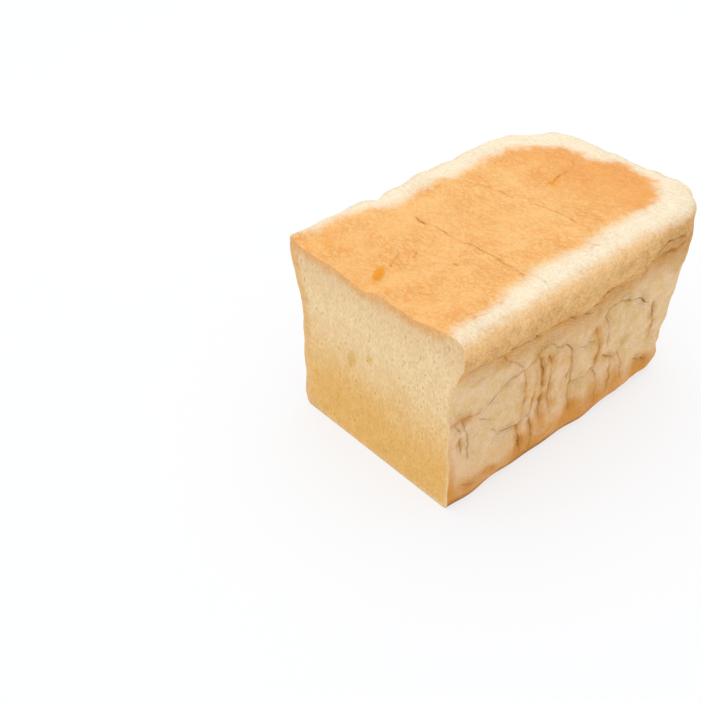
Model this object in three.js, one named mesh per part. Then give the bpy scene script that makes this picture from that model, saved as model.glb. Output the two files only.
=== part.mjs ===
// Tin loaf: a square-topped pan loaf, baked in one piece in a lidded tin and cut off flat at one end.
// Millimetres, +Z up. The loaf lies on z = 0, its length runs along Y, and its cut face looks along -Y.
import * as THREE from "three";

// Driving dimensions of the crust
const length = 179; // from the cut face to the far end
const topWidth = 120; // across the shoulders
const waistWidth = 104.6; // across the long sides where they have sunk in
const baseWidth = 106; // across the foot
const height = 104.5; // of the top crust over the foot, at the cut
const farRise = 2.6; // how much higher the top stands at the far end
const topDip = 2.2; // how far the top sinks along its middle
const endTaper = 5.5; // how far the far end draws in from shoulder to foot
const topRadius = 7; // rounding between the top and the walls
const baseRadius = 3.5; // rounding between the walls and the foot
const rightCornerRadius = 26; // upright far corner on the +X side, seen from above
const leftCornerRadius = 42; // upright far corner on the -X side, seen from above
const waistTop = 64; // height at which the sunken sides start to swell out
const shoulderLine = 97; // height at which the shoulders are widest
const firmStretch = 60; // length next to the far end over which the sides lose their waist

// Fineness of the grid
const widthSteps = 20;
const lengthSteps = 28;
const arcSteps = 4;
const wallSteps = 10;

const { clamp, lerp, smoothstep } = THREE.MathUtils;
const near = -length / 2;

// Heights of the grid's rings, each with its inset from the wall line: a quarter round at the foot,
// the plain wall, and a quarter round into the top.
function wallLevels() {
  const levels = [];
  for (let i = 0; i < arcSteps; i += 1) {
    const angle = (i / arcSteps) * (Math.PI / 2);
    const inset = baseRadius * (1 - Math.sin(angle));
    levels.push({ z: baseRadius * (1 - Math.cos(angle)), inset });
  }
  for (let i = 0; i < wallSteps; i += 1) {
    levels.push({ z: lerp(baseRadius, height - topRadius, i / wallSteps), inset: 0 });
  }
  for (let i = 0; i <= arcSteps; i += 1) {
    const angle = (i / arcSteps) * (Math.PI / 2);
    const inset = topRadius * (1 - Math.cos(angle));
    levels.push({ z: height - topRadius + topRadius * Math.sin(angle), inset });
  }
  return levels;
}

// Half of the width at a height and a place along the loaf. A sunken side is a waist under a swelling
// shoulder, and beside the far end the wall is a plain taper, because the crust is stiff there.
function halfWidth(z, y) {
  const foot = lerp(baseWidth, waistWidth, smoothstep(z, 0, waistTop));
  const sunken = lerp(foot, topWidth, smoothstep(z, waistTop, shoulderLine));
  const tapered = lerp(baseWidth, topWidth, clamp(z / shoulderLine, 0, 1));
  const firmness = smoothstep(y, length / 2 - firmStretch, length / 2);
  return lerp(sunken, tapered, firmness) / 2;
}

// How far the far end reaches along Y at a height.
function farReach(z) {
  return length / 2 - endTaper * (1 - smoothstep(z, 0, shoulderLine));
}

// Turns the square far corner of a level into a quarter circle, for a point at x, y beyond its centre.
function roundCorner(point, half, far, radius) {
  const side = Math.sign(point.x);
  const across = Math.abs(point.x) - (half - radius);
  const along = point.y - (far - radius);
  if (across <= 0 || along <= 0) {
    return;
  }
  const pull = Math.max(across, along) / Math.hypot(across, along);
  point.x = side * (half - radius + across * pull);
  point.y = far - radius + along * pull;
}

// Lift of the top crust: it climbs towards the far end and sinks along its middle.
function topLift(x, y) {
  const climb = farRise * smoothstep(y, near, length / 2);
  const dip = topDip * Math.cos((Math.PI * clamp((2 * x) / topWidth, -1, 1)) / 2) ** 2;
  return climb - dip;
}

// Moves one point of the unit grid, with across and along from -1 to 1, onto the loaf.
function placePoint(point, across, along, level) {
  const far = farReach(level.z) - level.inset;
  point.y = lerp(near, far, (along + 1) / 2);
  const half = halfWidth(level.z, point.y) - level.inset;
  point.x = across * half;
  const radius = across > 0 ? rightCornerRadius : leftCornerRadius;
  roundCorner(point, half, far, radius - level.inset);
  point.z = level.z * (1 + topLift(point.x, point.y) / height);
}

function makeLoaf() {
  const levels = wallLevels();
  const heightSteps = levels.length - 1;
  const geometry = new THREE.BoxGeometry(2, 2, 2, widthSteps, lengthSteps, heightSteps);
  const position = geometry.attributes.position;
  const point = new THREE.Vector3();
  for (let i = 0; i < position.count; i += 1) {
    point.fromBufferAttribute(position, i);
    const level = levels[Math.round(((point.z + 1) / 2) * heightSteps)];
    placePoint(point, point.x, point.y, level);
    position.setXYZ(i, point.x, point.y, point.z);
  }
  geometry.computeVertexNormals();
  const crust = new THREE.MeshStandardMaterial({ color: 0xdcb583, roughness: 0.75, metalness: 0 });
  const mesh = new THREE.Mesh(geometry, crust);
  mesh.name = "tin_loaf";
  return mesh;
}

const loaf = new THREE.Group();
loaf.add(makeLoaf());

export default loaf;
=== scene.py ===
import bpy
import numpy as np
from mathutils import Matrix, Vector


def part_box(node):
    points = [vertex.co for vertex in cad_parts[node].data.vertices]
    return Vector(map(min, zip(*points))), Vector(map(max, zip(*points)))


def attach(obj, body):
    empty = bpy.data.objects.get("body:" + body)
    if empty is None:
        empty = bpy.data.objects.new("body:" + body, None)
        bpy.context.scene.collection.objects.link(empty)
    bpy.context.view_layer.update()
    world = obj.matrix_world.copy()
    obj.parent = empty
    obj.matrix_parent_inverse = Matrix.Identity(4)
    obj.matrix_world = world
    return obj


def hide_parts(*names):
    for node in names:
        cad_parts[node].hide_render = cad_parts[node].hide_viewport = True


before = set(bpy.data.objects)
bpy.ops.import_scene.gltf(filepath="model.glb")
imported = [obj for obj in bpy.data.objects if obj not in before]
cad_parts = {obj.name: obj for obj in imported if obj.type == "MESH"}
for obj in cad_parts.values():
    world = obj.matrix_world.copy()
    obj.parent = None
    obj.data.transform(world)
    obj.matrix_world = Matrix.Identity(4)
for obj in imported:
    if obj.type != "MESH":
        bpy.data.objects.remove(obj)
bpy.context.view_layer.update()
print("frame loaded")

# The loaf is worked out in millimetres, with its middle over the origin, and put into its mesh in metres.
toMetres = 0.001
lowCorner, highCorner = (np.array(corner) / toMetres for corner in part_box("tin_loaf"))
loafLength = highCorner[1] - lowCorner[1]
loafWidth = highCorner[0] - lowCorner[0]
cutPlane = lowCorner[1]


def smoothStep(value, low, high):
    # 0 below low, 1 above high, and 3t^2 - 2t^3 between
    t = np.clip((value - low) / (high - low), 0, 1)
    return t * t * (3 - 2 * t)


def bell(distance, width):
    # 1 at no distance, falling as e to the minus square of distance over width
    return np.exp(-(distance / width) ** 2)


def ripple(points, size, seed, count=28):
    # soft noise of spread 1: plane waves of about one length, in random directions and phases
    draw = np.random.default_rng(seed)
    ways = draw.normal(size=(count, 3))
    ways /= np.linalg.norm(ways, axis=1, keepdims=True)
    lengths = size * draw.uniform(0.7, 1.4, (count, 1))
    phases = draw.uniform(0, 2 * np.pi, count)
    return np.sin(points @ (2 * np.pi * ways / lengths).T + phases).sum(1) * np.sqrt(2 / count)


def bend(points, parts=8):
    # smooth line through the points: on each span the cubic that leans on the points before and after
    p = np.array(points, float)
    p = np.concatenate([2 * p[:1] - p[1:2], p, 2 * p[-1:] - p[-2:-1]])
    t = np.arange(parts)[:, None] / parts
    before, start, end, after = (p[None, n:len(p) - 3 + n] for n in range(4))
    t = t[:, None]
    line = 0.5 * (2 * start + (end - before) * t + (2 * before - 5 * start + 4 * end - after) * t ** 2
                  + (3 * start - before - 3 * end + after) * t ** 3)
    return np.concatenate([line.transpose(1, 0, 2).reshape(-1, p.shape[1]), p[-2:-1]])


def lineDistance(places, line):
    # distance to the nearest point of a line, which side of it (+1 left, -1 right), how far that point is
    # from the line's nearer end, and the way to it
    start, along = line[:-1], line[1:] - line[:-1]
    stretch = np.linalg.norm(along, axis=1)
    run = np.concatenate([[0], np.cumsum(stretch)])
    reach = places[:, None] - start
    t = np.clip((reach * along).sum(-1) / stretch ** 2, 0, 1)
    off = reach - t[..., None] * along
    distance = np.hypot(off[..., 0], off[..., 1])
    nearest = distance.argmin(1)
    rows = np.arange(len(places))
    off, way = off[rows, nearest], along[nearest]
    side = np.sign(way[:, 0] * off[:, 1] - way[:, 1] * off[:, 0])
    passed = run[nearest] + t[rows, nearest] * stretch[nearest]
    return distance[rows, nearest], side, np.minimum(passed, run[-1] - passed), -off


def insideDistance(places, ring):
    # distance to a closed line, positive inside it: a ray to +X crosses the line an odd number of times
    distance = lineDistance(places, ring)[0]
    (x0, y0), (x1, y1) = ring[:-1].T, ring[1:].T
    x, y = places[:, :1], places[:, 1:]
    spans = (y0 <= y) != (y1 <= y)
    crossing = x0 + (y - y0) * (x1 - x0) / np.where(y1 == y0, 1, y1 - y0)
    inside = (spans & (x < crossing)).sum(1) % 2 == 1
    return np.where(inside, distance, -distance)


loafForm = {
    "steps": (100, 168, 112),      # grid squares across, along and up
    "topArc": 6,                   # rows of the top rounding on either side of its middle
    "baseArc": 4,
    "height": 104.5,               # of the top crust at the cut
    "farRise": 2.6,                # how much higher it stands at the far end
    "topDip": 2.2,                 # how far the top sinks along its middle, over this half width
    "dipWidth": 40.0,
    "waist": 52.3,                 # half widths: where the long sides sink in, and at the foot
    "foot": 53.5,
    "footWave": 0.5,               # how far the foot's line strays, and about how often
    "footWaveLength": 26.0,
    "waistTop": 64.0,              # heights between which the shoulder swells out
    "shoulderLine": 97.0,
    "firmStretch": 60.0,           # length beside the far end where the walls stay straight
    "endTaper": 5.5,
    "topRadius": 7.0,
    "sharpRadius": 3.2,            # rounding of the left shoulder beside the cut
    "baseRadius": 3.5,
    "baseGrowth": 6.0,             # the foot's rounding grows by this much towards the far end
    "rightCorner": 26.0,           # plan radius of the two far corners
    "leftCorner": 42.0,
    "pinch": 1.0,                  # the left shoulder draws in beside the cut, and has a dent further on
    "pinchPlace": 25.0,            # middles of the two, as lengths from the cut
    "dent": 3.0,
    "dentPlace": 53.0,
    "cornerSwell": 0.5,            # fullness of the far right corner, its tuck at the shoulder, and its rise
    "cornerTuck": 2.1,
    "cornerRise": 1.0,
    "cornerReach": 24.0,
}

# height of the cut's upper edge from left to right, less the plain height
cutEdge = [(-62, 0.3), (-57, -0.8), (-52, -2.4), (-40, -3.6), (-26, -4.2), (-15, -6.2), (-6, -7.6),
           (2, -5.8), (9, -4.4), (22, -4.2), (32, -3.6), (44, -1.2), (54, -0.6), (62, -1.0)]


def boxSkin(steps):
    # six grids, one for each side of a box, welded along its edges: whole-number places and square faces
    places, faces, count = [], [], 0
    for axis, u, v in ((0, 1, 2), (1, 2, 0), (2, 0, 1)):
        gridU, gridV = np.meshgrid(np.arange(steps[u] + 1), np.arange(steps[v] + 1), indexing="ij")
        index = np.arange(gridU.size).reshape(gridU.shape)
        squares = np.stack([index[:-1, :-1], index[1:, :-1], index[1:, 1:], index[:-1, 1:]], -1)
        squares = squares.reshape(-1, 4)
        for end in (0, steps[axis]):
            place = np.zeros(gridU.shape + (3,), int)
            place[..., axis], place[..., u], place[..., v] = end, gridU, gridV
            places.append(place.reshape(-1, 3))
            faces.append(count + (squares if end else squares[:, ::-1]))
            count += gridU.size
    lattice, weld = np.unique(np.concatenate(places), axis=0, return_inverse=True)
    return lattice, weld.reshape(-1)[np.concatenate(faces)]


def ringPlaces(up, footRadius, topRadius, form):
    # height and inset of each grid row: half of the foot's quarter round, the wall, half of the top's
    rows, low, high = form["steps"][2], form["baseArc"], form["topArc"]
    wallTop = form["height"] - topRadius
    inFoot, inTop = up < low, up > rows - high
    footAngle = np.pi / 4 * (1 - up / low)
    topAngle = np.pi / 4 * (up - rows + high) / high
    z = footRadius + (wallTop - footRadius) * (up - low) / (rows - low - high)
    z = np.where(inFoot, footRadius * (1 - np.sin(footAngle)), z)
    z = np.where(inTop, wallTop + topRadius * np.sin(topAngle), z)
    inset = np.where(inFoot, footRadius * (1 - np.cos(footAngle)), 0)
    return z, np.where(inTop, topRadius * (1 - np.cos(topAngle)), inset)


def spread(count, span, roundEnds, form):
    # grid places from 0 to 1 along a top line: even, but for the rounding's rows at its rounded ends
    rows, radius = form["topArc"], form["topRadius"]
    angle = np.pi / 4 * (1 + np.arange(rows + 1) / rows)
    arc = radius * (np.cos(np.pi / 4) - np.cos(angle))
    total = span - roundEnds * radius * (1 - np.cos(np.pi / 4))
    first = arc if roundEnds == 2 else np.zeros(1)
    middle = np.linspace(first[-1], total - arc[-1], count - rows * roundEnds + 1)
    return np.concatenate([first[:-1], middle, total - arc[-2::-1]]) / total


def halfWidth(z, y, form):
    # a waist under a swelling shoulder, turning into a plain taper towards the far end
    foot = form["foot"] + (form["waist"] - form["foot"]) * smoothStep(z, 0, 45)
    sunken = foot + (loafWidth / 2 - foot) * smoothStep(z, form["waistTop"], form["shoulderLine"])
    tapered = form["foot"] + (loafWidth / 2 - form["foot"]) * np.clip(z / form["shoulderLine"], 0, 1)
    firm = smoothStep(y, loafLength / 2 - form["firmStretch"], loafLength / 2)
    return sunken + (tapered - sunken) * firm


def roundedDrop(gap, radius):
    # how far a quarter round has fallen at a gap from its outer edge
    return radius - np.sqrt(np.maximum(radius ** 2 - np.maximum(radius - gap, 0) ** 2, 0))


def roundCorners(x, y, half, far, form):
    # the two far corners, square until now, as quarter circles seen from above
    radius = np.where(x > 0, form["rightCorner"], form["leftCorner"])
    cornerX, cornerY = abs(x) - (half - radius), y - (far - radius)
    inCorner = (cornerX > 0) & (cornerY > 0)
    pull = np.maximum(cornerX, cornerY) / np.maximum(np.hypot(cornerX, cornerY), 1e-9)
    x = np.where(inCorner, np.sign(x) * (half - radius + cornerX * pull), x)
    return x, np.where(inCorner, far - radius + cornerY * pull, y)


def warpTop(x, y, z, wallZ, form):
    # the far right corner's own shape, the rise to the far end, the dip along the middle, and the cut's edge
    toCorner = np.hypot(x - loafWidth / 2 + 8, y - loafLength / 2 + 8)
    rightCorner = bell(toCorner, form["cornerReach"])
    full = form["cornerSwell"] * smoothStep(wallZ, 12, 50) - form["cornerTuck"] * smoothStep(wallZ, 80, 100)
    full = full * rightCorner
    x, y = x + 0.64 * full, y + 0.77 * full
    edge = bend(cutEdge)
    atCut = np.interp(x, edge[:, 0], edge[:, 1])
    rise = form["farRise"] * smoothStep(y, cutPlane, loafLength / 2) + form["cornerRise"] * rightCorner
    awayFromCut = rise - form["topDip"] * bell(x, form["dipWidth"])
    lift = awayFromCut + (atCut - awayFromCut) * (1 - smoothStep(y, cutPlane - 8, cutPlane + 46))
    return np.stack([x, y, z * (1 + lift / form["height"])], -1)


def plainLoaf(lattice, form):
    # each lattice place carried onto the wall line, the roundings and the two far corners; with it a level
    # that goes on rising over the shoulder and inwards along the top
    across, along, up = lattice.T
    nx, ny, nz = form["steps"]
    onLeft = across < nx / 2
    footRadius = form["baseRadius"] + form["baseGrowth"] * smoothStep(along / ny, 0.45, 1.0)
    blunt = np.where(onLeft, smoothStep(along / ny, 0.15, 0.4), 1)
    topRadius = form["sharpRadius"] + (form["topRadius"] - form["sharpRadius"]) * blunt
    z, inset = ringPlaces(up, footRadius, topRadius, form)
    onTop, onFoot = up == nz, up == 0
    wallZ = np.where(onTop, form["height"], z)
    far = loafLength / 2 - form["endTaper"] * (1 - smoothStep(wallZ, 0, form["shoulderLine"]))
    y = cutPlane + spread(ny, loafLength, 1, form)[along] * (far - inset - cutPlane)
    fromCut = y - cutPlane
    pinch = form["pinch"] * (1 - smoothStep(abs(fromCut - form["pinchPlace"]), 12, 25))
    drawnIn = pinch + form["dent"] * bell(fromCut - form["dentPlace"], 5)
    wave = ripple(np.stack([50.0 * onLeft, y, 0 * y], -1), form["footWaveLength"], 41)
    half = halfWidth(wallZ, y, form) - drawnIn * smoothStep(wallZ, 70, 97) * onLeft
    half = half + form["footWave"] * wave * (1 - smoothStep(wallZ, 0, 22))
    x = (spread(nx, loafWidth, 2, form)[across] * 2 - 1) * (half - inset)
    gap = np.minimum(half - abs(x), far - y)
    level = np.where(onTop, form["height"] + gap - (2 - np.sqrt(2)) * topRadius, z)
    z = np.where(onTop, form["height"] - roundedDrop(gap, topRadius), z)
    z = np.where(onFoot, roundedDrop(gap, footRadius), z)
    x, y = roundCorners(x, y, half, far, form)
    return warpTop(x, y, z, wallZ, form), level


def outwardWays(points, faces):
    # normals of the points: the faces' cross products summed at their corners
    corners = points[faces]
    cross = np.cross(corners[:, 2] - corners[:, 0], corners[:, 3] - corners[:, 1])
    ways = np.zeros_like(points)
    for n in range(4):
        np.add.at(ways, faces[:, n], cross)
    return ways / np.maximum(np.linalg.norm(ways, axis=1, keepdims=True), 1e-9)


# Lines on a long wall, as length from the cut and height: depth, width, how golden its edges are, points.
wallCreases = [
    (1.0, 1.0, 0.6, [(6, 85.8), (9, 85.1), (12, 84.7), (20, 84.2), (29, 83.2)]),
    (0.4, 0.8, 0.2, [(9, 73), (19, 72.8), (30, 74)]),
    (0.5, 0.9, 0.4, [(29, 82), (33, 76), (39, 71), (45, 66), (49, 61)]),
    (0.8, 1.0, 0.5, [(29, 83.2), (38, 81.2), (48, 78.7), (53, 76.5), (59, 75.2)]),
    (0.6, 0.7, 0.5, [(49, 82), (53, 79), (57, 77.4)]),
    (1.2, 1.0, 0.8, [(62, 78.4), (74, 78), (81, 76.2), (88, 74.4), (95, 71.8)]),
    (1.0, 1.0, 0.7, [(92, 77), (99, 75.3), (106, 75.2)]),
    (1.0, 1.0, 0.7, [(106, 75.2), (111, 76.2), (119, 76.8), (127, 76)]),
    (0.7, 1.1, 0.4, [(96, 80), (104, 79), (112, 80), (121, 82)]),
    (1.1, 1.1, 0.7, [(127, 76), (134, 81.4), (141, 84.8), (150, 84.4), (160, 86)]),
    (0.9, 1.2, 0.5, [(128, 86), (140, 88), (152, 86), (163, 89)]),
    (0.8, 1.1, 0.3, [(132, 91), (143, 93), (156, 92)]),
    (1.2, 0.9, 0.9, [(-1, 51.4), (2, 53.6), (8, 53), (14, 51), (21, 48.6)]),
    (0.7, 0.8, 0.2, [(21, 48.6), (26, 50.3), (31, 53), (37, 57), (45, 59.2), (53, 59.3)]),
    (1.1, 0.9, 0.5, [(53, 59.3), (57, 61), (61, 65), (66, 66), (71, 63)]),
    (0.9, 0.8, 0.2, [(71, 63), (73, 60.5), (79, 60), (82, 56), (85, 52), (90, 51.6), (96, 50.6),
                     (101, 50.2)]),
    (1.1, 0.9, 0.2, [(109, 61), (114, 63.3), (120, 64.6), (126, 63), (131, 60.6), (135, 61), (138, 57),
                     (142, 54.5)]),
    (0.7, 0.7, 0.3, [(3, 53.5), (6, 48), (8, 40), (8.6, 31)]),
    (0.7, 0.7, 0.3, [(8, 53), (10.6, 46), (12, 37), (13, 25)]),
    (1.0, 0.8, 0.8, [(60, 63), (62, 55), (63.2, 48), (64.6, 40), (63.6, 31), (62.4, 22)]),
    (0.4, 0.7, 0.5, [(57, 60), (58, 50), (59, 40), (57.6, 28)]),
    (0.5, 0.8, 0.6, [(66, 62), (68, 52), (69, 42), (68.4, 31), (70, 20)]),
    (0.4, 1.0, 0.6, [(49, 59), (51, 47), (51, 36), (50, 27)]),
    (1.2, 0.8, 0.9, [(47, 27), (48.6, 18), (49, 9), (48.6, 2)]),
    (0.6, 0.8, 0.5, [(56, 27), (57, 14), (56, 3)]),
    (0.9, 0.8, 0.3, [(29, 28), (37, 28), (43, 26.6), (50, 26.2), (57, 28)]),
    (0.8, 0.7, 0.3, [(85, 52), (86, 43), (86.2, 35), (85, 26), (85.6, 14)]),
    (0.4, 0.8, 0.3, [(83, 52), (83.6, 42), (82.6, 32)]),
    (0.5, 1.0, 0.7, [(99, 61), (103, 52), (104.6, 44), (104, 34)]),
    (0.5, 0.9, 0.5, [(109.6, 61), (111.6, 50), (110.6, 38)]),
    (0.7, 0.8, 0.2, [(85, 31), (92, 30.4), (98, 30), (105, 32), (109.6, 37)]),
    (0.6, 0.9, 0.4, [(109.6, 37), (113, 33.6), (118, 31.6), (122, 32), (124.6, 35.5), (129, 40)]),
    (0.5, 0.9, 0.5, [(104, 31), (106, 20), (105, 8)]),
    (0.5, 0.9, 0.5, [(115, 32), (116, 22), (114.6, 10)]),
    (0.4, 0.8, 0.3, [(122, 32), (125, 24), (126, 14)]),
    (0.7, 0.8, 0.4, [(145, 54), (147, 45), (149, 36), (148, 27)]),
    (0.8, 0.8, 0.4, [(137, 18.6), (142, 16.4), (147, 14.6), (152, 11)]),
    (0.5, 0.7, 0.3, [(8, 11.5), (14, 10.2), (20, 11.5), (32, 12)]),
    (0.4, 0.6, 0.1, [(26, 37), (30, 34), (33, 30)]),
    (0.4, 0.6, 0.1, [(20, 46), (25, 43), (30, 41)]),
    (0.4, 0.8, 0.2, [(152, 69), (160, 71), (168, 69)]),
    (0.4, 0.9, 0.4, [(156, 24), (162, 27), (168, 24)]),
]

# Golden patches of a long wall: length from the cut, height, half length, half height, strength
goldenPatches = [
    (76, 40, 40, 50, 0.32), (70, 68, 30, 8, 0.3), (1, 24, 4, 26, 0.6), (51, 42, 5, 20, 0.35),
    (63, 46, 6, 16, 0.5), (63, 24, 6, 12, 0.7), (50, 12, 7, 12, 0.5), (86, 12, 9, 13, 1.0),
    (102, 50, 4, 12, 0.5), (105, 16, 9, 16, 0.5), (112, 50, 3, 14, 0.35), (121, 18, 6, 14, 0.6),
    (145, 11, 9, 8, 0.8), (8, 84, 9, 3, 0.6), (30, 78, 9, 5, 0.5), (56, 76, 12, 5, 0.65),
    (84, 74, 10, 4, 0.65), (100, 75, 8, 5, 0.75), (118, 74, 10, 4, 0.6), (142, 82, 16, 5, 0.45),
    (165, 84, 10, 9, 0.35),
]

# height of the long fold under the shoulder, along the wall
foldLine = [(-5, 87), (14, 83.5), (28, 81), (46, 77), (60, 75), (80, 74.5), (94, 71), (106, 73), (122, 75.5),
            (141, 80), (160, 78), (185, 76)]

wallRelief = {
    "wander": 0.3,        # how far a crease strays from its smooth line
    "grasp": 1.35,        # reach within which the grid is drawn to a crease
    "groove": 0.36,       # depth of the creases, as a share of the list's
    "lip": 0.3,           # ridge over a crease, and step across it, as shares of its depth
    "lap": 0.22,
    "pillow": 1.5,        # swelling between creases
    "pillowReach": 7.0,
    "atCut": 0.15,        # share of the swelling that is left at the cut
    "overhang": 0.5,      # step at the long fold
    "broad": 0.45,        # soft unevenness of the whole crust: wide, middling, and as small wrinkles
    "middling": 0.22,
    "wrinkle": 0.22,
    "goldReach": 3.8,     # how far a golden edge reaches
    "foldAtCorners": 77,  # height of the long fold at the far corners
}
farAway = 30.0            # distance to a crease that stands for none near


def followLines(places, lines, seed):
    # creases round a set of lines: relief, darkness, golden edge, distance to the nearest in widths of it,
    # distance to the nearest deep one, and the shift that lays the grid's points along the nearest's bottom
    count = len(places)
    relief, groove, weight, gold = np.zeros((4, count))
    beside, clear = np.full((2, count), farAway)
    shift = np.zeros((count, 2))
    uneven = 0.85 + 0.2 * ripple(np.pad(places, ((0, 0), (0, 1))), 9, seed)
    for depth, width, golden, corners in lines:
        line = bend(corners)
        flat = np.pad(line, ((0, 0), (0, 1)))
        line += wallRelief["wander"] * np.stack([ripple(flat, 5, seed + 1), ripple(flat, 5, seed + 2)], -1)
        near = np.nonzero(((places > line.min(0) - 14) & (places < line.max(0) + 14)).all(1))[0]
        if len(near) == 0:
            continue
        distance, side, toEnd, toward = lineDistance(places[near], line)
        pull = 1 - smoothStep(distance, wallRelief["grasp"] / 3, wallRelief["grasp"])
        distance = distance * (1 - pull)
        fade = smoothStep(toEnd, -2, 3) * uneven[near]
        ridge = wallRelief["lip"] * bell(distance - 2 * width, 1.6 * width) * (side > 0)
        step = wallRelief["lap"] * side * np.exp(-distance / 5)
        relief[near] += depth * fade * (ridge + step)
        groove[near] = np.maximum(groove[near], depth * fade * bell(distance, width))
        gold[near] = np.maximum(gold[near], golden * fade * bell(distance, wallRelief["goldReach"]))
        if depth > 0.6:
            clear[near] = np.minimum(clear[near], distance + 4 * (1 - fade))
        widths = distance / width
        closer = widths < beside[near]
        chosen = near[closer]
        beside[chosen] = widths[closer]
        weight[chosen] = min(1.2 * depth, 1) * fade[closer]
        shift[chosen] = (pull[:, None] * toward)[closer]
    return relief - groove * wallRelief["groove"], weight, gold, beside, clear, shift


def wallMarks(places):
    # relief and colours of a wall, for places (length from the cut, height) on it
    relief, weight, gold, beside, clear, shift = followLines(places, wallCreases, 11)
    fromCut = wallRelief["atCut"] + (1 - wallRelief["atCut"]) * smoothStep(places[:, 0], 0, 16)
    relief += wallRelief["pillow"] * (0.8 - bell(clear, wallRelief["pillowReach"])) * fromCut
    fold = bend(foldLine)
    over = places[:, 1] - np.interp(places[:, 0], fold[:, 0], fold[:, 1])
    above = smoothStep(over, -2, 2)
    brow = 0.6 * above * np.exp(-np.maximum(over, 0) / 12)
    tuck = 0.5 * (1 - above) * np.exp(np.minimum(over, 0) / 9)
    alongFold = smoothStep(places[:, 0], 0, 8) * (1 - smoothStep(places[:, 0], 125, 155))
    relief += wallRelief["overhang"] * (brow - tuck) * alongFold
    for length, height, long, tall, strength in goldenPatches:
        off = np.hypot((places[:, 0] - length) / long, (places[:, 1] - height) / tall)
        gold = np.maximum(gold, strength * bell(off, 0.9))
    return relief, weight, gold, beside, over, shift


# edge of the toasted part of the top, as places across and along from the cut
toastEdge = [(0, -6), (-56, -6), (-55, 14), (-53.5, 28), (-51, 41), (-47, 54), (-46, 72), (-45.5, 90),
             (-44, 106), (-44, 122), (-42.5, 136), (-39.5, 147), (-34.5, 155.5), (-27, 162), (-18, 165.5),
             (-8, 165.5), (-2, 168.5), (5, 171.5), (14, 170.5), (23, 169), (30.5, 168.6), (34.5, 162),
             (38, 160.5), (41, 152), (42, 138), (42, 120), (42.5, 104), (44.5, 93), (43.5, 84),
             (41.5, 72), (41.5, 58), (43.5, 46), (47, 33), (49, 18), (49, 4), (48, -6), (0, -6)]

# Lines on the top, as places across and along: depth, width, golden edge, points
topCreases = [
    (0.85, 0.9, 0, [(-30, 55.2), (-26, 55), (-21, 55.4)]),
    (0.38, 0.8, 0, [(-21, 56.8), (-14, 57.2), (-6, 56.8), (2, 57.6)]),
    (0.5, 0.8, 0, [(2, 57.6), (8, 59.6), (13, 60)]),
    (0.38, 0.8, 0, [(13, 60), (22, 59.6), (31, 58.6), (41, 58)]),
    (0.22, 0.9, 0, [(-30, 100.5), (-20, 103), (-8, 104)]),
    (0.22, 0.9, 0, [(0, 107), (12, 110), (26, 110), (36, 109)]),
    (0.9, 0.8, 0, [(-9, 145), (-8.4, 139), (-7.2, 134), (-6, 130)]),
    (0.3, 0.8, 0, [(-15, 158), (-11, 153), (-8, 149)]),
    (0.5, 1.0, 0, [(-8.4, 37), (-7.4, 34.6), (-6, 32)]),
    (0.3, 0.8, 0, [(-13.3, 30), (-12, 25.6), (-9, 20)]),
    (0.35, 0.7, 0, [(10, 41.8), (14, 41)]),
    (0.4, 0.7, 0, [(49, 34), (50.6, 31)]),
    (0.4, 0.7, 0, [(51.4, 23), (50, 18), (50.4, 14)]),
    (0.35, 0.7, 0, [(46, 99), (50, 100.4)]),
    (0.3, 0.7, 0, [(47, 97), (49, 93), (48, 90)]),
    (0.2, 0.9, 0, [(42, 60), (49, 60), (54, 58.6)]),
]

# deep orange spots: across, along, half sizes, turn in degrees, strength
amberSpots = [
    (-9.8, 13.6, 5.0, 2.5, -58, 1.0), (-8.4, 11.0, 2.6, 2.4, 20, 0.9), (-6.2, 130.2, 3.2, 1.8, -15, 0.9),
    (-7.6, 136.5, 1.5, 6.0, 14, 0.7), (-4.4, 75.5, 2.2, 5.0, 25, 0.3), (12.6, 41.4, 3.0, 0.9, -10, 0.4),
    (-11.4, 23, 1.6, 3.2, 25, 0.35), (-44, 10.6, 5.0, 4.0, 30, 0.35), (-50, 28, 3.0, 3.0, 0, 0.3),
    (36, 156, 3.2, 6.0, 12, 0.2), (41, 153, 1.2, 6.5, 6, 0.3), (-7, 34.6, 1.2, 2.4, 30, 0.3),
]


topRelief = {
    "broad": 0.45,     # soft unevenness of the top, wide and fine
    "fine": 0.12,
    "stray": 0.4,      # how far the edges of the amber spots stray
}


def topMarks(places, points):
    # relief and colours of the top, for places (across, along) on it
    relief, weight, _, beside, _, shift = followLines(places, topCreases, 23)
    relief += topRelief["broad"] * ripple(points, 34, 21) + topRelief["fine"] * ripple(points, 11, 22)
    amber = np.zeros(len(places))
    strayed = places + topRelief["stray"] * np.stack([ripple(points, 6, 23), ripple(points, 6, 24)], -1)
    for x, y, wide, long, turn, strength in amberSpots:
        c, s = np.cos(np.radians(turn)), np.sin(np.radians(turn))
        dx, dy = strayed[:, 0] - x, strayed[:, 1] - y
        off = np.hypot((c * dx + s * dy) / wide, (c * dy - s * dx) / long)
        amber = np.maximum(amber, strength * (1 - smoothStep(off, 0.4, 1.4)))
    return relief, weight, amber, beside, insideDistance(places, bend(toastEdge, 4)), shift


# holes in the crumb: across, height, half sizes, depth
crumbHoles = [(-16.0, 51.8, 2.9, 4.4, 2.0), (-17.2, 47.8, 1.6, 2.0, 1.3), (-3.4, 59.4, 2.3, 2.8, 1.3),
              (-26, 52.8, 1.6, 1.3, 1.0), (-10.8, 56.2, 1.3, 1.0, 0.6), (50, 97, 0.9, 1.1, 0.9),
              (31, 40.4, 1.6, 1.0, 0.6), (-30, 88, 0.9, 1.4, 0.6), (-13, 77, 0.8, 1.6, 0.5)]

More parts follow.
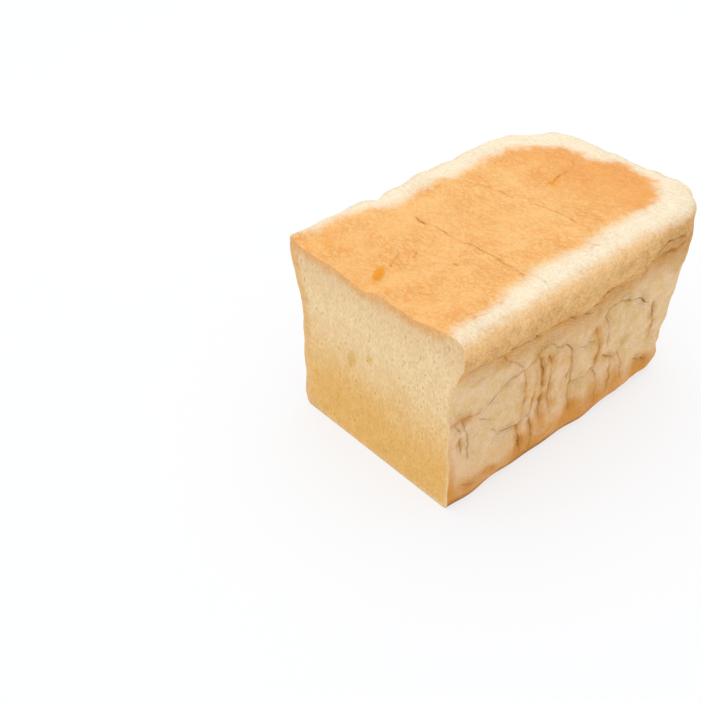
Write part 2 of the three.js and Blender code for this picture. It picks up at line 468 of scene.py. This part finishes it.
cutFace = {
    "poreCount": 420,
    "poreSize": (0.5, 1.15),   # half widths of the larger pores
    "poreDepth": 0.55,
    "poreStretch": 1.7,        # taller than wide
    "sag": 0.35,               # unevenness that the knife left, wide and fine
    "grain": 0.07,
    "crustEdge": 1.6,          # breadth of the crust's edge, and what the left wall, top and foot add to it
    "leftCrust": 3.4,
    "topCrust": 3.2,
    "footCrust": 0.8,
}


def fillCut(points, lattice, form):
    # the grid inside the cut's outline: the four edges blended across, less the four corners counted twice
    nx, _, nz = form["steps"]
    onCut = lattice[:, 1] == 0
    grid = np.zeros((nx + 1, nz + 1), int)
    grid[lattice[onCut, 0], lattice[onCut, 2]] = np.nonzero(onCut)[0]
    u, v = np.meshgrid(np.linspace(0, 1, nx + 1), np.linspace(0, 1, nz + 1), indexing="ij")
    u, v = u[..., None], v[..., None]
    p = points[grid]
    edges = (1 - v) * p[:, :1] + v * p[:, -1:] + (1 - u) * p[:1] + u * p[-1:]
    corners = (1 - v) * ((1 - u) * p[0, 0] + u * p[-1, 0]) + v * ((1 - u) * p[0, -1] + u * p[-1, -1])
    points[grid[1:-1, 1:-1]] = (edges - corners)[1:-1, 1:-1]
    return grid


def cutMarks(points, grid):
    # depth behind the knife's plane, how much of it is a hole, and distance from the outline
    inner = points[grid[1:-1, 1:-1]].reshape(-1, 3)
    ring = np.concatenate([grid[:, 0], grid[-1, 1:], grid[-2::-1, -1], grid[0, -2::-1]])
    rim = lineDistance(inner[:, [0, 2]], points[ring][:, [0, 2]])[0]
    draw = np.random.default_rng(31)
    count = cutFace["poreCount"]
    pores = np.stack([draw.uniform(-57, 57, count), draw.uniform(4, 101, count)], -1)
    size = draw.uniform(*cutFace["poreSize"], count)
    sideways, upwards = inner[:, :1] - pores[:, 0], inner[:, 2:] - pores[:, 1]
    off = np.hypot(sideways / size, upwards / size / cutFace["poreStretch"])
    depth = (cutFace["poreDepth"] * draw.uniform(0.3, 1, count) * (1 - smoothStep(off, 0.3, 1.2))).max(1)
    hollow = np.zeros(len(inner))
    for x, z, wide, tall, deep in crumbHoles:
        wobble = 1 + 0.12 * ripple(inner, 4, 32)
        off = np.hypot((inner[:, 0] - x) / wide, (inner[:, 2] - z) / tall) * wobble
        bowl = 1 - smoothStep(off, 0.45, 1.15)
        depth, hollow = np.maximum(depth, deep * bowl), np.maximum(hollow, bowl * min(1, deep / 1.5))
    fromRim = smoothStep(rim, 0.5, 3.5)
    uneven = cutFace["sag"] * (1 + 0.5 * ripple(inner, 26, 33)) * smoothStep(rim, 0, 12)
    grainy = cutFace["grain"] * (1 + ripple(inner, 3.2, 34))
    depth = depth * fromRim + np.maximum(uneven, 0) + np.maximum(grainy, 0) * fromRim
    return depth, hollow * fromRim, rim


def crustThickness(x, z):
    # breadth of the crust's edge in the cut: thicker along the left wall and the top, a little at the foot
    left = smoothStep(-x, 30, 50) * (1 - 0.4 * smoothStep(z, 84, 98))
    top = smoothStep(z, 70, 95) * (1 - smoothStep(x, 44, 54))
    foot = 1 - smoothStep(z, 0, 14)
    return (cutFace["crustEdge"] + cutFace["leftCrust"] * left + cutFace["topCrust"] * top * (1 - left)
            + cutFace["footCrust"] * foot)


def splitSquares(squares, beside):
    # each square as two triangles, divided along the diagonal that lies nearer to a crease
    a, b, c, d = squares.T
    first = beside[a] + beside[c] <= beside[b] + beside[d]
    one = np.where(first, [a, b, c], [a, b, d])
    two = np.where(first, [a, c, d], [b, c, d])
    return np.concatenate([one.T, two.T])


def wallShift(points, run, rise, shift):
    # a shift in a wall's own run and rise, as a move in space: by how points change along the grid's two ways
    byRun = np.gradient(points, axis=0) / np.gradient(run, axis=0)[..., None]
    byRise = np.gradient(points, axis=1) / np.gradient(rise, axis=1)[..., None]
    return byRun * shift[..., :1] + byRise * shift[..., 1:]


creasePlaces = {
    "leftTurn": 168.0,     # the left wall has the creases end for end, back from this length, a little
    "leftRaise": 2.0,      # raised and flattened
    "leftFlatten": 0.96,
    "farMiddle": 92.0,     # the far wall has the stretch about this length, a little squeezed and raised
    "farSqueeze": 0.9,
    "farRaise": 1.0,
}


def wallPlaces(lattice, length, width, height, form):
    # the three crusty walls: which points they have, where each lies among the creases, and how near a corner
    across, along, _ = lattice.T
    nx, ny, _ = form["steps"]
    taper = form["endTaper"] * (1 - smoothStep(height, 0, form["shoulderLine"])) / loafLength
    reached = length * (1 - taper)
    at = creasePlaces
    leftRise = at["leftRaise"] + at["leftFlatten"] * height
    farRun = at["farMiddle"] + at["farSqueeze"] * width
    return [(across == nx, reached, height, loafLength - length),
            (across == 0, at["leftTurn"] - reached, leftRise, loafLength - length),
            (along == ny, farRun, height + at["farRaise"], loafWidth / 2 - abs(width))]


def creaseWall(points, push, marks, height, place, rows):
    # one wall's relief, added to how far the points are pushed out, its colours, and its sideways shifts
    wall, run, rise, corner = place
    run, rise = run[wall], rise[wall]
    relief, weight, gold, beside, over, shift = wallMarks(np.stack([run, rise], -1))
    toCorner, wallHeight = smoothStep(corner[wall], 0, 9), height[wall]
    free = toCorner * smoothStep(wallHeight, 3, 7) * (1 - smoothStep(wallHeight, 88, 95))
    shift = (shift * free[:, None]).reshape(-1, rows, 2)
    sheet = points[wall].reshape(-1, rows, 3)
    move = wallShift(sheet, run.reshape(-1, rows), rise.reshape(-1, rows), shift)
    wrinkles = ripple(points[wall] * (1.0, 0.6, 0.45), 4.5, 3) * (1 - smoothStep(wallHeight, 84, 98))
    push[wall] += (relief * toCorner + wallRelief["wrinkle"] * wrinkles) * smoothStep(wallHeight, 1, 8)
    points[wall] += move.reshape(-1, 3)
    marks["weight"][wall], marks["gold"][wall] = weight * toCorner, gold * toCorner
    # the fold's height runs smoothly round the corners
    joined = smoothStep(corner[wall], 0, 24)
    marks["over"][wall] = joined * over + (1 - joined) * (wallHeight - wallRelief["foldAtCorners"])
    marks["beside"][wall] = beside


def creaseTop(points, push, marks, length, top):
    # the top's relief, colours and sideways shifts
    places = np.stack([points[top, 0], length[top]], -1)
    relief, weight, amber, beside, inside, shift = topMarks(places, points[top])
    inner = smoothStep(loafWidth / 2 - abs(places[:, 0]), 3, 8)
    push[top] += relief * inner
    points[top, :2] += shift * inner[:, None]
    marks["amber"][top], marks["toast"][top] = amber, inside
    marks["weight"][top], marks["beside"][top] = weight * inner, beside


def carveCut(points, lattice, marks, form):
    # the crumb: flat where the knife went, but for its pores, holes and slight sag
    points[lattice[:, 1] == 0, 1] = cutPlane
    grid = fillCut(points, lattice, form)
    inner = grid[1:-1, 1:-1].reshape(-1)
    depth, hollow, fromRim = cutMarks(points, grid)
    points[inner, 1] += depth
    marks["hollow"][inner] = hollow
    marks["crumb"][inner] = fromRim / crustThickness(points[inner, 0], points[inner, 2])
    marks["toast"][inner], marks["beside"][inner] = 0, farAway


def loafMesh(points, triangles, marks, rim):
    # smooth but for the edge round the cut, with each mark as an attribute of its points
    mesh = bpy.data.meshes.new("loaf")
    mesh.from_pydata((points * toMetres).tolist(), [], triangles.tolist())
    for name, values in marks.items():
        mesh.attributes.new(name, "FLOAT", "POINT").data.foreach_set("value", values.astype(np.float32))
    mesh.polygons.foreach_set("use_smooth", np.ones(len(triangles), bool))
    ends = np.zeros(len(mesh.edges) * 2, int)
    mesh.edges.foreach_get("vertices", ends)
    sharp = rim[ends.reshape(-1, 2)].all(1)
    mesh.attributes.new("sharp_edge", "BOOLEAN", "EDGE").data.foreach_set("value", sharp)
    mesh.update()
    return mesh


def makeLoaf(form):
    lattice, squares = boxSkin(form["steps"])
    nx, ny, nz = form["steps"]
    across, along, up = lattice.T
    points, level = plainLoaf(lattice, form)
    print("plain loaf:", len(points), "points")

    onCut = along == 0
    rim = onCut & ((across == 0) | (across == nx) | (up == 0) | (up == nz))
    shell = squares[~(lattice[squares][..., 1] == 0).all(1)]
    ways = outwardWays(points, shell)
    ways[rim, 1] = 0
    ways[rim] /= np.linalg.norm(ways[rim], axis=1, keepdims=True)

    marks = {name: np.zeros(len(points)) for name in ("weight", "gold", "amber", "hollow", "crumb")}
    marks["beside"] = np.full(len(points), farAway)
    marks["toast"] = np.full(len(points), -20.0)
    marks["over"] = np.full(len(points), 20.0)
    marks["level"] = level

    push = wallRelief["broad"] * ripple(points, 42, 1) + wallRelief["middling"] * ripple(points, 15, 2)
    length = spread(ny, loafLength, 1, form)[along] * loafLength
    width = (spread(nx, loafWidth, 2, form)[across] * 2 - 1) * loafWidth / 2
    height = points[:, 2].copy()
    for place in wallPlaces(lattice, length, width, height, form):
        creaseWall(points, push, marks, height, place, nz + 1)
    creaseTop(points, push, marks, length, up == nz)
    push *= (up > 0) * smoothStep(height, 0.5, 8)
    points += ways * push[:, None]
    points[:, 2] = np.maximum(points[:, 2], 0)
    print("crust creased")

    carveCut(points, lattice, marks, form)
    print("cut face filled")

    mesh = loafMesh(points, splitSquares(squares, marks["beside"]), marks, rim)
    loaf = bpy.data.objects.new("loaf", mesh)
    bpy.context.scene.collection.objects.link(loaf)
    return loaf


class Wire:
    # a socket that can be reckoned with: each operator adds its Math node
    def __init__(self, tree, socket):
        self.tree = tree
        self.socket = socket

    def __add__(self, other):
        return self.tree.math("ADD", self, other)

    def __sub__(self, other):
        return self.tree.math("SUBTRACT", self, other)

    def __rsub__(self, other):
        return self.tree.math("SUBTRACT", other, self)

    def __mul__(self, other):
        return self.tree.math("MULTIPLY", self, other)

    __radd__ = __add__
    __rmul__ = __mul__


class NodeTree:
    def __init__(self, name):
        material = bpy.data.materials.new(name)
        material.use_nodes = True
        self.material = material
        self.nodes = material.node_tree.nodes
        self.links = material.node_tree.links
        self.nodes.clear()

    def add(self, kind, settings=None, values=None, output=0):
        node = self.nodes.new(kind)
        for name, value in (settings or {}).items():
            setattr(node, name, value)
        for name, value in (values or {}).items():
            if isinstance(value, Wire):
                self.links.new(value.socket, node.inputs[name])
            else:
                node.inputs[name].default_value = value
        return Wire(self, node.outputs[output]) if node.outputs else None

    def math(self, operation, *values):
        return self.add("ShaderNodeMath", {"operation": operation}, dict(enumerate(values)))

    def attribute(self, name):
        return self.add("ShaderNodeAttribute", {"attribute_name": name}, output="Fac")

    def step(self, value, low, high):
        # smooth step from 0 at low to 1 at high
        return self.add("ShaderNodeMapRange", {"interpolation_type": "SMOOTHSTEP"},
                        {"Value": value, "From Min": low, "From Max": high})

    def noise(self, place, size, detail=2.0, stretch=(1, 1, 1), roughness=0.5, swirl=0.0):
        # soft noise about 0, with features of about that size in millimetres
        scaled = self.add("ShaderNodeVectorMath", {"operation": "MULTIPLY"},
                          {0: place, 1: tuple(s / size for s in stretch)})
        values = {"Vector": scaled, "Scale": 1.0, "Detail": detail, "Roughness": roughness,
                  "Distortion": swirl}
        return (self.add("ShaderNodeTexNoise", None, values) - 0.5) * 2

    def pores(self, place, size, share):
        # upright oval pores, one to a cell of that size in millimetres, as wide as a share of it
        scaled = self.add("ShaderNodeVectorMath", {"operation": "MULTIPLY"},
                          {0: place, 1: (1 / size, 1 / size, 0.5 / size)})
        distance = self.add("ShaderNodeTexVoronoi", None, {"Vector": scaled, "Scale": 1.0})
        return 1 - self.step(distance, 0, share)

    def mix(self, factor, first, second):
        return self.add("ShaderNodeMix", {"data_type": "RGBA"}, {0: factor, 6: first, 7: second}, output=2)


def paint(red, green, blue):
    # screen colour, 0 to 255, as the linear colour that nodes take
    c = np.array([red, green, blue]) / 255
    linear = np.where(c <= 0.04045, c / 12.92, ((c + 0.055) / 1.055) ** 2.4)
    return (*linear.tolist(), 1.0)


crustLook = {
    "cream": paint(253, 236, 206),       # edge of the top, which the lid kept pale
    "toast": paint(254, 205, 134),       # top, against the lid
    "deepToast": paint(243, 168, 88),
    "amber": paint(243, 158, 40),
    "mark": paint(204, 124, 50),         # cracks in the top, darker partly in colour and partly as painted shade in the groove
    "blush": paint(240, 209, 167),       # flats of the sunken walls
    "rose": paint(239, 197, 156),
    "straw": paint(232, 200, 138),
    "tan": paint(246, 200, 134),         # wall above the long fold, and its darker grain
    "deepTan": paint(210, 158, 94),
    "sand": paint(253, 206, 146),        # between tan and cream
    "fold": paint(198, 150, 84),         # band of painted shade under the shoulder's overhang
    "gold": paint(216, 143, 45),         # edges of the creases and the foot
    # painted shadow along the foot's rounded bottom edge
    "footShadow": paint(150, 96, 42),
    "seamAndShade": paint(188, 132, 52),         # bottom of a crease, darker partly in colour and partly as painted shade, and of one above the long fold, painted shade where the shoulder's edge overhangs it
    "foldSeamShade": paint(146, 100, 42),
    "crumb": paint(245, 215, 165),
    "dullCrumb": paint(236, 201, 154),   # under the top crust
    # lower crumb: partly its own warmth, partly painted shade and painted warm reflected light
    "warmCrumbAndShade": paint(236, 185, 105),
    # insides of the crumb's holes and pores: painted shade
    "hollow": paint(236, 192, 112),
    "poreShade": paint(206, 156, 98),
    "rimTop": paint(234, 178, 112),      # crust seen in the cut: under the top, down the left and right walls
    "rimLeft": paint(234, 189, 126),
    "rimRight": paint(236, 198, 144),
    "foldShadeShare": 0.28,                   # how strongly these are laid over the colours beneath them
    "goldShare": 0.9,
    "footShadowShare": 0.75,
    "seamAndShadeShare": 0.75,
    "holeShadeShare": 0.8,                    # painted shade in the pores and holes of the crumb
    "mottle": (0.65, 1.0, 1.5),          # share of the mottling taken by red, green and blue
    "roughness": 0.78,
    "glow": 0.12,                        # light that sinks in
    "glowReach": 0.0035,
}


class CrustTree(NodeTree):
    # the loaf's nodes, with the places, marks, noises and masks that its paints share
    def __init__(self):
        super().__init__("crust")
        object3d = self.add("ShaderNodeTexCoord", output="Object")
        place = self.add("ShaderNodeVectorMath", {"operation": "SCALE"}, {0: object3d, "Scale": 1 / toMetres})
        self.across, self.along, self.height = (
            self.add("ShaderNodeSeparateXYZ", None, {0: place}, output=n) for n in range(3))
        self.weight, self.beside, self.gold, self.over, self.level = (
            self.attribute(name) for name in ("weight", "beside", "gold", "over", "level"))
        self.amber, self.toast, self.hollow, self.crumb = (
            self.attribute(name) for name in ("amber", "toast", "hollow", "crumb"))

        self.blotch = self.noise(place, 16, 3)
        self.patch = self.noise(place, 6, 3)
        self.fleck = self.noise(place, 1.4, 4, (1.0, 0.7, 1.0), 0.6)
        self.grain = self.noise(place, 0.7, 2)
        # thin leathery wrinkles, where a noise crosses nought
        leather = self.math("ABSOLUTE", self.noise(place, 3.6, 3, (0.6, 1.3, 1.0), 0.55, 0.3))
        self.wrinkle = (1 - self.step(leather, 0.0, 0.2)) * self.step(self.blotch, -0.6, 0.5)
        # crumb, with tall narrow pores
        self.sponge = self.noise(place, 1.1, 3, (1.0, 1.0, 0.5), 0.6)
        self.streak = self.noise(place, 3.0, 3, (1.0, 1.0, 0.3))
        pores = self.pores(place, 1.5, 0.42) + self.pores(place, 2.6, 0.32)
        self.openPores = pores * self.step(self.streak + self.patch, -0.5, 0.5)

        self.ends = self.step(self.along, 20, 70)
        ragged = self.toast + self.patch * (3.4 + self.ends * 2.5) + self.blotch * 1.5 + self.fleck * 2.6
        self.toasted = self.step(ragged, -5.5, 4.5)
        hidden = self.step(self.across, 20, -40)
        lifted = self.level + self.patch * 1.4 + self.fleck * 0.8 + self.ends * 3 + hidden * 3
        self.pale = self.step(lifted, 100, 107)
        self.upper = self.step(self.over + self.blotch * 4 + self.patch * 4 + self.fleck * 3, -14, 7)
        self.inCut = self.step(self.crumb, 0.0, 0.12)
        self.onCrust = 1 - self.inCut


def topPaint(tree, look):
    # toasted inside its edge, and deeper brown towards both ends and in the thin wrinkles, where the
    # wrinkles' darkening is painted shade
    deeper = tree.ends * 0.8 + tree.step(tree.along, -40, -85) * 0.15 + tree.wrinkle * 0.5
    browned = tree.step(tree.blotch * 0.4 + tree.patch * 0.6 + tree.fleck * 1.6 + deeper, -0.8, 1.2)
    return tree.mix(tree.toasted, look["cream"], tree.mix(browned, look["toast"], look["deepToast"]))


def wallPaint(tree, look):
    # blush flats, tan above the fold, golden along creases and at the foot, with painted shade in a band
    # under the shoulder and in the thin wrinkles, and a painted shadow along the foot's bottom edge
    blotch, patch, fleck = tree.blotch, tree.patch, tree.fleck
    flat = tree.mix(tree.step(blotch + patch * 0.5, -0.5, 0.6), look["rose"], look["straw"])
    flat = tree.mix(tree.step(patch + fleck * 0.7, -0.6, 0.4), look["blush"], flat)
    # the tan darker in the thin wrinkles: painted shade
    tanned = fleck * 0.7 + tree.grain * 0.5 + patch * 0.6 - tree.wrinkle * 0.3 - tree.ends * 0.4
    shoulder = tree.mix(tree.step(tanned, -0.8, 0.7), look["deepTan"], look["tan"])
    light = tree.step(tree.level + patch * 2 + fleck * 1.5 - tree.ends * 3, 93, 102)
    shoulder = tree.mix(light * (0.8 - tree.ends * 0.4), shoulder, look["sand"])
    color = tree.mix(tree.upper, flat, shoulder)
    strayed = tree.over + blotch * 4 + patch * 3 + fleck * 2
    # painted shade in a band under the shoulder's overhang
    foldShadeBand = tree.step(strayed, -13, -4) * tree.step(strayed, 9, 0)
    color = tree.mix(foldShadeBand * look["foldShadeShare"], color, look["fold"])
    low = 1 - tree.step(tree.height + blotch * 7 + patch * 4, 2, 28)
    golden = tree.step(tree.gold + low * 0.85 + patch * 0.4 + blotch * 0.3 + fleck * 0.3, -0.05, 1.15)
    color = tree.mix(golden * look["goldShare"], color, look["gold"])
    # painted shadow along the foot's bottom edge, where the rounded foot turns away from the light
    footShadowMask = 1 - tree.step(tree.height + patch * 1.5 + fleck, 2, 6.5)
    return tree.mix(footShadowMask * look["footShadowShare"], color, look["footShadow"])


def crustPaint(tree, look):
    # wall and top joined over the shoulder, with the amber spots and the bottoms of the creases, whose
    # darkness is partly their own colour and partly painted shade
    color = tree.mix(tree.pale, wallPaint(tree, look), topPaint(tree, look))
    color = tree.mix(tree.step(tree.amber + tree.fleck * 0.15, 0.0, 1.0), color, look["amber"])
    # crease and crack bottoms: partly their own darker colour, partly painted shade in the groove
    seamAndShade = tree.weight * (1 - tree.step(tree.beside + tree.fleck * 0.15, 0.05, 1.1))
    seamAndShadeColor = tree.mix(tree.pale, tree.mix(tree.upper, look["seamAndShade"], look["foldSeamShade"]), look["mark"])
    return tree.mix(seamAndShade * (look["seamAndShadeShare"] + tree.pale * 0.1), color, seamAndShadeColor)


def cutPaint(tree, look):
    # crumb, dull under the top crust and warm towards the foot, that warmth partly its own colour and partly
    # painted shade and warm reflected light, with painted shade in its pores and holes, inside the crust's
    # edge
    rim = tree.mix(tree.step(tree.across, 20, 48), look["rimLeft"], look["rimRight"])
    underTop = tree.step(tree.height - tree.across * 0.1, 86, 96) * tree.step(tree.across, 54, 42)
    rim = tree.mix(underTop, rim, look["rimTop"])
    strayed = tree.height + tree.blotch * 10
    # warmer towards the foot: partly the crumb's own colour, partly painted shade and painted reflected light
    color = tree.mix(tree.step(strayed, 74, 18), look["crumb"], look["warmCrumbAndShade"])
    dull = tree.step(strayed + tree.patch * 8 + tree.sponge * 6, 74, 100)
    color = tree.mix(dull, color, look["dullCrumb"])
    # painted shade in the pores and holes
    color = tree.mix(tree.openPores * look["holeShadeShare"], color, look["poreShade"])
    color = tree.mix(tree.hollow * look["holeShadeShare"], color, look["hollow"])
    inside = tree.step(tree.crumb + tree.patch * 0.35 + tree.sponge * 0.3, 0.3, 1.7)
    return tree.mix(inside, rim, color)


def mottledPaint(tree, look, color):
    # a darker grain that is more orange too, as blue falls off faster than red
    # the grain lighter and darker at random, and darker in the thin wrinkles as painted shade
    leather = tree.fleck * 0.2 + tree.grain * 0.18 + tree.patch * 0.06 - tree.wrinkle * 0.1
    spongy = tree.sponge * 0.3 + tree.streak * 0.14 + tree.patch * 0.14
    mottle = leather * tree.onCrust + spongy * tree.inCut
    tint = tree.add("ShaderNodeVectorMath", {"operation": "SCALE"}, {0: look["mottle"], "Scale": mottle})
    return tree.add("ShaderNodeVectorMath", {"operation": "MULTIPLY_ADD"}, {0: color, 1: tint, 2: color})


def crustBump(tree):
    # fine folds beside the creases, leathery grain, and the crumb's sponge
    near = (1 - tree.step(tree.beside, 1.5, 9)) * (1 - tree.pale) * tree.weight
    folds = tree.math("SINE", tree.beside * 3.6 + tree.patch * 5) * near
    leathery = tree.fleck * 0.26 + tree.grain * 0.12 + tree.patch * 0.3 + folds * 0.2 - tree.wrinkle * 0.12
    spongy = tree.sponge * 0.35 + tree.streak * 0.2 + tree.grain * 0.1 - tree.openPores * 0.2
    surface = leathery * tree.onCrust + spongy * tree.inCut
    return tree.add("ShaderNodeBump", None, {"Strength": 1.0, "Distance": toMetres, "Height": surface})


def crustMaterial():
    tree = CrustTree()
    look = crustLook
    color = tree.mix(tree.inCut, crustPaint(tree, look), cutPaint(tree, look))
    roughness = look["roughness"] + tree.fleck * 0.06 + tree.toasted * tree.pale * tree.onCrust * -0.12
    shader = tree.add("ShaderNodeBsdfPrincipled", None, {
        "Base Color": mottledPaint(tree, look, color), "Roughness": roughness, "Normal": crustBump(tree),
        "Specular IOR Level": 0.3, "Subsurface Weight": look["glow"],
        "Subsurface Scale": look["glowReach"], "Subsurface Radius": (1.0, 0.55, 0.25)})
    tree.add("ShaderNodeOutputMaterial", None, {"Surface": shader})
    return tree.material


loaf = makeLoaf(loafForm)
loaf.data.materials.append(crustMaterial())
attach(loaf, "root")
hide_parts("tin_loaf")
print("loaf finished:", len(loaf.data.polygons), "triangles")


studio = {
    "floorSize": 8.0,
    "floorColor": paint(146, 148, 152),
    "floorGlow": 0.69,
    "skyColor": (1.0, 1.0, 1.0, 1.0),
    "skyStrength": 0.84,
    # soft boxes: place, size and power
    "softBoxes": {
        "overhead": ((-0.2, 0.25, 1.3), 1.4, 4.3),
        "front": ((-0.7, -1.3, 0.9), 1.2, 1.6),
    },
}

viewpoint = {
    "lens": 55.0,
    "azimuth": 50.54,
    "elevation": 38.36,
    "roll": -1.64,
    "distance": 0.5474,
    "aim": (-0.0317, -0.0767, 0.0412),
}


def makeFloor():
    half = studio["floorSize"] / 2
    corners = [(-half, -half, 0), (half, -half, 0), (half, half, 0), (-half, half, 0)]
    mesh = bpy.data.meshes.new("floor")
    mesh.from_pydata(corners, [], [(0, 1, 2, 3)])
    tree = NodeTree("floor paint")
    shader = tree.add("ShaderNodeBsdfPrincipled", None, {
        "Base Color": studio["floorColor"], "Roughness": 0.9, "Specular IOR Level": 0.1,
        "Emission Color": (1.0, 1.0, 1.0, 1.0), "Emission Strength": studio["floorGlow"]})
    tree.add("ShaderNodeOutputMaterial", None, {"Surface": shader})
    mesh.materials.append(tree.material)
    floor = bpy.data.objects.new("floor", mesh)
    bpy.context.scene.collection.objects.link(floor)


def makeLights():
    world = bpy.data.worlds.new("pale room")
    world.use_nodes = True
    background = world.node_tree.nodes["Background"]
    background.inputs["Color"].default_value = studio["skyColor"]
    background.inputs["Strength"].default_value = studio["skyStrength"]
    bpy.context.scene.world = world
    for name, (place, size, power) in studio["softBoxes"].items():
        light = bpy.data.lights.new(name, "AREA")
        light.shape = "DISK"
        light.size = size
        light.energy = power
        lamp = bpy.data.objects.new(name, light)
        lamp.location = place
        lamp.rotation_euler = Vector(place).to_track_quat("Z", "Y").to_euler()
        bpy.context.scene.collection.objects.link(lamp)


def makeCamera():
    # turned about the vertical by its azimuth, lifted by its elevation and rolled, at a distance from its aim
    azimuth, elevation, roll = np.radians([viewpoint[name] for name in ("azimuth", "elevation", "roll")])
    turn = (Matrix.Rotation(azimuth, 4, "Z") @ Matrix.Rotation(np.pi / 2 - elevation, 4, "X")
            @ Matrix.Rotation(roll, 4, "Z"))
    data = bpy.data.cameras.new("camera")
    data.lens = viewpoint["lens"]
    camera = bpy.data.objects.new("camera", data)
    camera.matrix_world = (Matrix.Translation(viewpoint["aim"]) @ turn
                           @ Matrix.Translation((0, 0, viewpoint["distance"])))
    bpy.context.scene.collection.objects.link(camera)
    bpy.context.scene.camera = camera


makeFloor()
makeLights()
makeCamera()
bpy.context.scene.view_settings.view_transform = "Standard"
print("studio ready")
